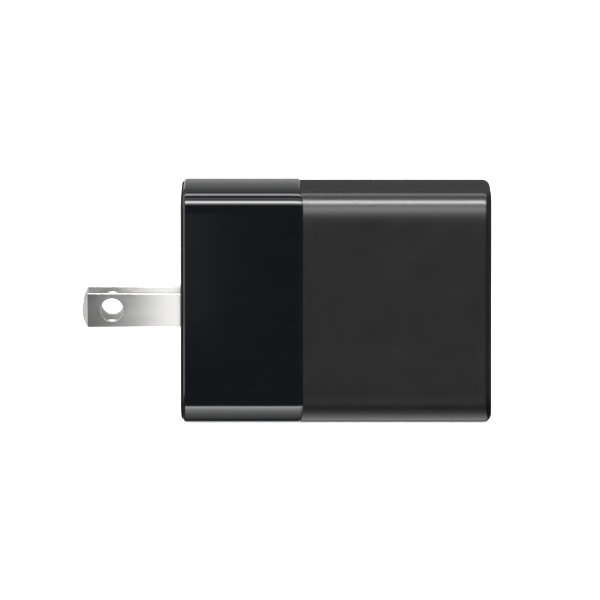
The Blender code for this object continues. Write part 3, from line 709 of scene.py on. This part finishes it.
def blade_outline(inset):
    """One blade's side view: an arched tip, slightly tapered edges and a round root about the fold axis."""
    tip_radius = (BLADE_HALF**2 + TIP_SAGITTA**2) / (2 * TIP_SAGITTA)
    centre_x = TIP_X + tip_radius
    tip_radius -= inset
    reach = math.asin((BLADE_HALF - inset) / tip_radius)
    points = []
    for step in range(TIP_STEPS + 1):
        angle = math.pi - reach + 2 * reach * step / TIP_STEPS
        points.append((centre_x + tip_radius * math.cos(angle), BLADE_Z + tip_radius * math.sin(angle)))
    root_radius = ROOT_RADIUS - inset
    for step in range(ROOT_STEPS + 1):
        angle = -math.pi / 2 + math.pi * step / ROOT_STEPS
        points.append((PIVOT.x + root_radius * math.cos(angle), PIVOT.z + root_radius * math.sin(angle)))
    return points


def across_blade(radius):
    """Stations across a blade's thickness, as (y from its middle, how far its edge is rounded off)."""
    quarter = []
    for step in range(EDGE_STEPS + 1):
        angle = math.pi / 2 * step / EDGE_STEPS
        y = radius * (1 - math.cos(angle)) - BLADE_THICKNESS / 2
        quarter.append((y, radius * (1 - math.sin(angle))))
    return quarter + [(-y, rounding) for y, rounding in reversed(quarter)]


def hole_cutter(x, middle, radius):
    """A round cutter that flares where it leaves the blade, so the hole's edges come out rounded."""
    reach = 2 * MM
    rings = []
    for y, flare in [(-reach, HOLE_EDGE)] + across_blade(HOLE_EDGE) + [(reach, HOLE_EDGE)]:
        points = []
        for step in range(HOLE_STEPS):
            angle = 2 * math.pi * step / HOLE_STEPS
            across = (radius + flare) * math.cos(angle)
            points.append(Vector((x + across, middle + y, PIVOT.z + (radius + flare) * math.sin(angle))))
        rings.append(points)
    return new_object("hole_cutter", loft(rings))


def make_blade(side, name, finishes):
    """A stamped blade with a coined tip, a punched hole and softly broken edges."""
    middle = side * BLADE_Y
    rings = []
    for y, inset in across_blade(BLADE_EDGE):
        rings.append([Vector((x, middle + y, z)) for x, z in blade_outline(inset)])
    bm = loft(rings)
    chord_x = TIP_X + TIP_SAGITTA
    slope = (BLADE_THICKNESS - TIP_THICKNESS) / 2 / TIP_SAGITTA
    snap = 1e-9
    for face in (1, -1):
        geometry = bm.verts[:] + bm.edges[:] + bm.faces[:]
        origin = (chord_x, middle + face * BLADE_THICKNESS / 2, PIVOT.z)
        bmesh.ops.bisect_plane(
            bm, geom=geometry, plane_co=origin, plane_no=(-slope, face, 0.0), clear_outer=True, dist=snap
        )
        bmesh.ops.holes_fill(bm, edges=[edge for edge in bm.edges if edge.is_boundary])
    blade = piece("prong_" + name, bm, finishes["nickel"], PRONGS, ["blade_" + name])
    subtract(blade, [hole_cutter(HOLE_X, middle, HOLE_RADIUS), hole_cutter(PIVOT.x, middle, BORE_RADIUS)])


# ---------------------------------------------------------------- ports

def make_port_shells(finishes):
    """The pressed metal liner of each port, with its mouth rolled slightly."""
    for name, mouth, z, round_ends in PORTS:
        stations = [(PORT_BACK_X, 0.0), (PORT_BACK_X, PORT_METAL), (MOUTH_X - PORT_LIP, PORT_METAL)]
        stations += [(MOUTH_X, PORT_METAL - PORT_LIP), (MOUTH_X, PORT_LIP), (MOUTH_X - PORT_LIP, 0.0)]
        rings = []
        for x, grow in stations:
            rings.append([Vector((x, a, b + z)) for a, b in port_outline(mouth, round_ends, grow)])
        bm = loft(rings, closed=True)
        piece(name + "_liner", bm, finishes["steel"], HOUSING, [name + "_shell"])


def make_tongue(port, size, rise, setback, finishes):
    """A port's insulator: a back block and the tongue that stands in the mouth."""
    name, mouth, z, round_ends = port
    front = MOUTH_X - setback
    block_end = PORT_BACK_X + TONGUE_BLOCK
    half_y, half_z = size[0] / 2, size[1] / 2
    block = port_outline(mouth, round_ends, -INSULATOR_GAP)
    full = rounded_rectangle(half_y, half_z, TONGUE_CORNER, OUTLINE_STEPS)
    thin = rounded_rectangle(half_y - TONGUE_EDGE, half_z - TONGUE_EDGE, TONGUE_TIP_CORNER, OUTLINE_STEPS)
    stations = [(PORT_BACK_X, block, 0.0), (block_end, block, 0.0), (block_end, full, rise)]
    stations += [(front - TONGUE_EDGE, full, rise), (front, thin, rise)]
    rings = []
    for x, points, lift in stations:
        rings.append([Vector((x, a, b + z + lift)) for a, b in points])
    stands_for = [name + "_insulator"]
    surface = finishes["insulator_black"]
    piece(name + "_tongue", loft(rings), surface, HOUSING, stands_for)


def make_contacts(name, row, face_z, side, finishes):
    """A row of gilt contacts lying in a tongue's face."""
    count, pitch, width = row
    for number in range(count):
        y = (number - (count - 1) / 2) * pitch
        z = sorted((face_z - side * CONTACT_THICKNESS / 2, face_z + side * CONTACT_THICKNESS))
        bm = slab((CONTACT_START, CONTACT_END), (y - width / 2, y + width / 2), z)
        contact = piece(f"{name}_{number + 1}", bm, finishes["gold"], HOUSING)
        soften(contact, CONTACT_EDGE)


def make_ports(finishes):
    """The liners, tongues and contacts of both ports."""
    make_port_shells(finishes)
    make_tongue(PORTS[0], USB_C_TONGUE, 0.0, USB_C_SETBACK, finishes)
    make_tongue(PORTS[1], USB_A_TONGUE, USB_A_RISE, USB_A_SETBACK, finishes)
    for side, word in ((1, "upper"), (-1, "lower")):
        face = USB_C_Z + side * USB_C_TONGUE[1] / 2
        make_contacts(f"usb_c_{word}_contact", USB_C_CONTACTS, face, side, finishes)
    face = USB_A_Z + USB_A_RISE - USB_A_TONGUE[1] / 2
    make_contacts("usb_a_contact", USB_A_CONTACTS, face, -1, finishes)


# ---------------------------------------------------------------- what stays from the frame

def dress_frame_nodes(finishes):
    """Gives each node of the frame the finish of its slot."""
    slots = {part["node"]: part["material_slot"] for part in frame["record"]["subparts"]}
    for name, obj in frame["nodes"].items():
        obj.data.materials.clear()
        obj.data.materials.append(finishes[slots[name]])


# ---------------------------------------------------------------- studio

def make_floor():
    """A plain white floor under the object."""
    bm = bmesh.new()
    bmesh.ops.create_grid(bm, x_segments=1, y_segments=1, size=FLOOR_HALF)
    mesh = bpy.data.meshes.new("floor")
    bm.to_mesh(mesh)
    bm.free()
    floor = bpy.data.objects.new("floor", mesh)
    floor.location = (0.0, 0.0, CAD_BOX[0][2] - FLOOR_GAP)
    bpy.context.scene.collection.objects.link(floor)
    material = bpy.data.materials.new("floor_white")
    material.use_nodes = True
    shader = material.node_tree.nodes["Principled BSDF"]
    shader.inputs["Base Color"].default_value = (0.9, 0.9, 0.9, 1.0)
    shader.inputs["Roughness"].default_value = 0.9
    shader.inputs["Emission Color"].default_value = (1.0, 1.0, 1.0, 1.0)
    shader.inputs["Emission Strength"].default_value = 0.6
    mesh.materials.append(material)
    floor.visible_glossy = False
    floor.visible_shadow = False


# Angles about the X axis say where things are in the studio: 0 is overhead, 90 is in front at the
# horizon, 180 is below and -90 is behind. Each stop is an angle and the brightness there.
ROOM = (
    (-180, 0.5), (-165, 0.3), (-150, 0.1), (-86, 0.13), (-78, 0.08), (-60, 0.32), (-37, 0.52), (-24, 0.70),
    (-13, 0.46), (19, 0.24), (26, 0.32), (31, 1.8), (42, 0.9), (59, 0.30), (66, 0.12), (92, 0.10),
    (118, 0.10), (150, 0.3), (180, 0.5),
)
ROOM_PEAK = 2.0
# The ends of the room: how far a direction points along X, and the brightness there. Between the two
# numbers of ENDS_START the ends take over from the room, and they go dark between those of ENDS_FOOT.
ENDS = ((-1.0, 2.0), (-0.84, 2.0), (-0.7, 1.4), (-0.5, 1.0), (0.5, 0.2), (0.8, 0.3), (1.0, 0.5))
ENDS_START = (0.55, 0.70)
ENDS_FOOT = (-0.18, -0.12)
ENDS_FOOT_LIGHT = 0.12
KEY_STRIP = ((42.5, 0.0), (45.5, 5.5), (48.5, 16.5), (52, 19.5), (55.5, 7.6), (59.5, 2.0), (63, 0.0))
BACK_STRIP = ((-8, 0.0), (-5, 2.2), (0.5, 6.2), (5, 7.8), (9.5, 6.2), (14, 0.0))
BACK_GLOW = ((-122, 0.0), (-116, 0.45), (-88, 0.45), (-85.5, 0.22), (-82, 0.06), (-77, 0.0))
MATTE_KEY = ((40.3, 0.0), (43.3, 34.0), (50.8, 34.0), (54.8, 0.0))
MATTE_SHOULDER = ((63, 0.0), (68, 7.2), (77, 7.2), (82, 3.3), (89, 0.0))
MATTE_BACK = ((-16, 0.0), (-10, 5.6), (-1, 5.6), (4, 1.4), (24, 1.2), (30, 0.0))
MATTE_FRONT = ((100, 0.0), (106, 1.2), (111, 0.8), (120, 0.2), (128, 0.0))
MATTE_UNDERSIDE = ((130, 0.0), (138, 0.7), (150, 0.9), (166, 2.2), (212, 2.6), (222, 0.0))
TABLE_GLOW = (
    (120, 0.0), (121.7, 5.6), (124.5, 7.4), (132, 4.0), (147, 2.0), (166, 0.8), (184, 0.25), (200, 0.0),
)
STUDIO_DISTANCE = 2.0
STUDIO_LENGTH = 2.6
FLOOR_HALF = 6.0
FLOOR_GAP = 0.25 * MM
# Lamps for the floor and for the flat faces: size, brightness and place
FLOOR_FILL = ((2.0, 2.0), 0.8, (0.0, 0.0, 1.5))
BLADE_CARD = ((0.050, 0.140), 1.36, (18 * MM, -76 * MM, -8 * MM))
FACE_CARD = ((0.220, 0.140), 0.17, (-107 * MM, -600 * MM, 3 * MM))


def fill_ramp(ramp, stops):
    """Gives a colour ramp grey stops at (position, shade)."""
    for position, shade in stops[1:-1]:
        ramp.elements.new(position)
    for element, (position, shade) in zip(ramp.elements, stops):
        element.position = position
        element.color = (shade, shade, shade, 1.0)


def room_tone(tree, axes):
    """The room's brightness at a direction's angle about the X axis."""
    forward = add_node(tree, "ShaderNodeMath", operation="MULTIPLY")
    forward.inputs[1].default_value = -1.0
    tree.links.new(axes.outputs["Y"], forward.inputs[0])
    angle = add_node(tree, "ShaderNodeMath", operation="ARCTAN2")
    tree.links.new(forward.outputs["Value"], angle.inputs[0])
    tree.links.new(axes.outputs["Z"], angle.inputs[1])
    fraction = add_node(tree, "ShaderNodeMath", operation="MULTIPLY_ADD")
    fraction.inputs[1].default_value = 1 / (2 * math.pi)
    fraction.inputs[2].default_value = 0.5
    tree.links.new(angle.outputs["Value"], fraction.inputs[0])
    strips = add_node(tree, "ShaderNodeValToRGB")
    fill_ramp(strips.color_ramp, [(turn / 360 + 0.5, value / ROOM_PEAK) for turn, value in ROOM])
    tree.links.new(fraction.outputs["Value"], strips.inputs["Fac"])
    return strips.outputs["Color"]


def end_tone(tree, axes):
    """The brightness of the ends of the room, which go dark towards the floor."""
    across = add_node(tree, "ShaderNodeMath", operation="MULTIPLY_ADD")
    across.inputs[1].default_value = 0.5
    across.inputs[2].default_value = 0.5
    tree.links.new(axes.outputs["X"], across.inputs[0])
    ends = add_node(tree, "ShaderNodeValToRGB")
    fill_ramp(ends.color_ramp, [((along + 1) / 2, value / ROOM_PEAK) for along, value in ENDS])
    tree.links.new(across.outputs["Value"], ends.inputs["Fac"])
    standing = add_node(tree, "ShaderNodeMapRange", interpolation_type="SMOOTHSTEP")
    standing.inputs["From Min"].default_value, standing.inputs["From Max"].default_value = ENDS_FOOT
    standing.inputs["To Min"].default_value = ENDS_FOOT_LIGHT
    tree.links.new(axes.outputs["Z"], standing.inputs["Value"])
    panels = add_node(tree, "ShaderNodeVectorMath", operation="SCALE")
    tree.links.new(ends.outputs["Color"], panels.inputs["Vector"])
    tree.links.new(standing.outputs["Result"], panels.inputs["Scale"])
    return panels.outputs["Vector"]


def end_share(tree, axes):
    """How far a direction belongs to the ends of the room, from 0 to 1."""
    sideways = add_node(tree, "ShaderNodeMath", operation="ABSOLUTE")
    tree.links.new(axes.outputs["X"], sideways.inputs[0])
    edge = add_node(tree, "ShaderNodeMapRange", interpolation_type="SMOOTHSTEP")
    edge.inputs["From Min"].default_value, edge.inputs["From Max"].default_value = ENDS_START
    tree.links.new(sideways.outputs["Value"], edge.inputs["Value"])
    return edge.outputs["Result"]


def make_world():
    """A dim room whose tone changes round the X axis, with ends of their own, seen as white."""
    world = bpy.data.worlds.new("studio")
    world.use_nodes = True
    tree = world.node_tree
    tree.nodes.clear()
    place = add_node(tree, "ShaderNodeTexCoord")
    axes = add_node(tree, "ShaderNodeSeparateXYZ")
    tree.links.new(place.outputs["Generated"], axes.inputs["Vector"])
    blend = add_node(tree, "ShaderNodeMix", data_type="RGBA")
    tree.links.new(end_share(tree, axes), blend.inputs["Factor"])
    tree.links.new(room_tone(tree, axes), blend.inputs["A"])
    tree.links.new(end_tone(tree, axes), blend.inputs["B"])

    around = add_node(tree, "ShaderNodeBackground")
    around.inputs["Strength"].default_value = ROOM_PEAK
    tree.links.new(blend.outputs["Result"], around.inputs["Color"])
    seen = add_node(tree, "ShaderNodeBackground")
    seen.inputs["Color"].default_value = (1.0, 1.0, 1.0, 1.0)
    path = add_node(tree, "ShaderNodeLightPath")
    mix = add_node(tree, "ShaderNodeMixShader")
    tree.links.new(path.outputs["Is Camera Ray"], mix.inputs["Fac"])
    tree.links.new(around.outputs["Background"], mix.inputs[1])
    tree.links.new(seen.outputs["Background"], mix.inputs[2])
    output = add_node(tree, "ShaderNodeOutputWorld")
    tree.links.new(mix.outputs["Shader"], output.inputs["Surface"])
    bpy.context.scene.world = world


def area_light(name, size, radiance, place):
    """A rectangular lamp of a given size and brightness, which the camera doesn't see."""
    data = bpy.data.lights.new(name, "AREA")
    data.shape = "RECTANGLE"
    data.size, data.size_y = size
    data.energy = radiance * size[0] * size[1] * math.pi
    light = bpy.data.objects.new(name, data)
    light.location = place
    light.visible_camera = False
    bpy.context.scene.collection.objects.link(light)
    return light


def linked_pieces(name, names, state):
    """A collection that includes or excludes pieces for a lamp."""
    collection = bpy.data.collections.new(name)
    for piece_name in names:
        collection.objects.link(bpy.data.objects[piece_name])
    for linked in collection.collection_objects:
        linked.light_linking.link_state = state
    return collection


def link_light(light, names, state="INCLUDE"):
    """Makes a lamp light only some pieces (INCLUDE), or all but some (EXCLUDE)."""
    light.light_linking.receiver_collection = linked_pieces(light.name + "_receivers", names, state)


def shade_lamp(light, stops):
    """Gives a lamp a brightness that changes across its width."""
    light.data.use_nodes = True
    tree = light.data.node_tree
    emission = tree.nodes["Emission"]
    place = tree.nodes.new("ShaderNodeNewGeometry")
    axes = tree.nodes.new("ShaderNodeSeparateXYZ")
    ramp = tree.nodes.new("ShaderNodeValToRGB")
    tree.links.new(place.outputs["Parametric"], axes.inputs["Vector"])
    tree.links.new(axes.outputs["Y"], ramp.inputs["Fac"])
    tree.links.new(ramp.outputs["Color"], emission.inputs["Color"])
    fill_ramp(ramp.color_ramp, stops)


def long_strip(name, stops, names, state="INCLUDE"):
    """A long soft box parallel to the X axis, with a brightness that changes across it."""
    first, last = math.radians(stops[0][0]), math.radians(stops[-1][0])
    middle, half = (first + last) / 2, (last - first) / 2
    peak = max(value for angle, value in stops)
    width = 2 * STUDIO_DISTANCE * math.tan(half)
    place = (SEAM_X, -STUDIO_DISTANCE * math.sin(middle), STUDIO_DISTANCE * math.cos(middle))
    light = area_light(name, (STUDIO_LENGTH, width), peak, place)
    light.rotation_euler = (middle, 0.0, 0.0)
    shades = []
    for angle, value in reversed(stops):
        across = 0.5 - math.tan(math.radians(angle) - middle) / math.tan(half) / 2
        shades.append((across, value / peak))
    shade_lamp(light, shades)
    link_light(light, names, state)


def card(name, size, radiance, place, names):
    """A small soft box facing away from the camera, for some pieces only."""
    light = area_light(name, size, radiance, place)
    light.rotation_euler = (math.pi / 2, 0.0, 0.0)
    link_light(light, names)
    return light


def make_lights():
    """Strips for the highlights along the edges, a fill for the floor, and cards for the flat faces."""
    matte = ["matte_half"]
    glossy = ["glossy_half"]
    blades = ["prong_left", "prong_right"]
    long_strip("key", KEY_STRIP, matte, "EXCLUDE")
    long_strip("back_edge", BACK_STRIP, matte, "EXCLUDE")
    long_strip("table_glow", TABLE_GLOW, glossy)
    long_strip("back_glow", BACK_GLOW, glossy)
    long_strip("matte_key", MATTE_KEY, matte)
    long_strip("matte_shoulder", MATTE_SHOULDER, matte)
    long_strip("matte_back_edge", MATTE_BACK, matte)
    long_strip("matte_front", MATTE_FRONT, matte)
    long_strip("matte_underside", MATTE_UNDERSIDE, matte)
    fill = area_light("floor_fill", *FLOOR_FILL)
    fill.visible_glossy = False
    glow = card("blade_glow", *BLADE_CARD, blades)
    glow.light_linking.blocker_collection = linked_pieces("blade_glow_blockers", blades, "EXCLUDE")
    card("face_glow", *FACE_CARD, glossy)


def make_camera():
    """The camera: nearly level, square to the broad side, with a long lens."""
    data = bpy.data.cameras.new("camera")
    data.lens = CAMERA_LENS
    data.sensor_width = 36.0
    data.clip_end = 20.0
    camera = bpy.data.objects.new("camera", data)
    away = Vector((0.0, -math.cos(CAMERA_ELEVATION), math.sin(CAMERA_ELEVATION)))
    camera.location = CAMERA_TARGET + away * CAMERA_DISTANCE
    camera.rotation_euler = (math.pi / 2 - CAMERA_ELEVATION, 0.0, 0.0)
    bpy.context.scene.collection.objects.link(camera)
    bpy.context.scene.camera = camera


finishes = make_materials()
dress_frame_nodes(finishes)
make_wall_half(finishes)
make_port_half(finishes)
make_port_panel(finishes)
make_face_plate(finishes)
make_blade(-1, "right", finishes)
make_blade(1, "left", finishes)
make_ports(finishes)
make_floor()
make_world()
make_lights()
make_camera()
bpy.context.scene.view_settings.view_transform = "Standard"
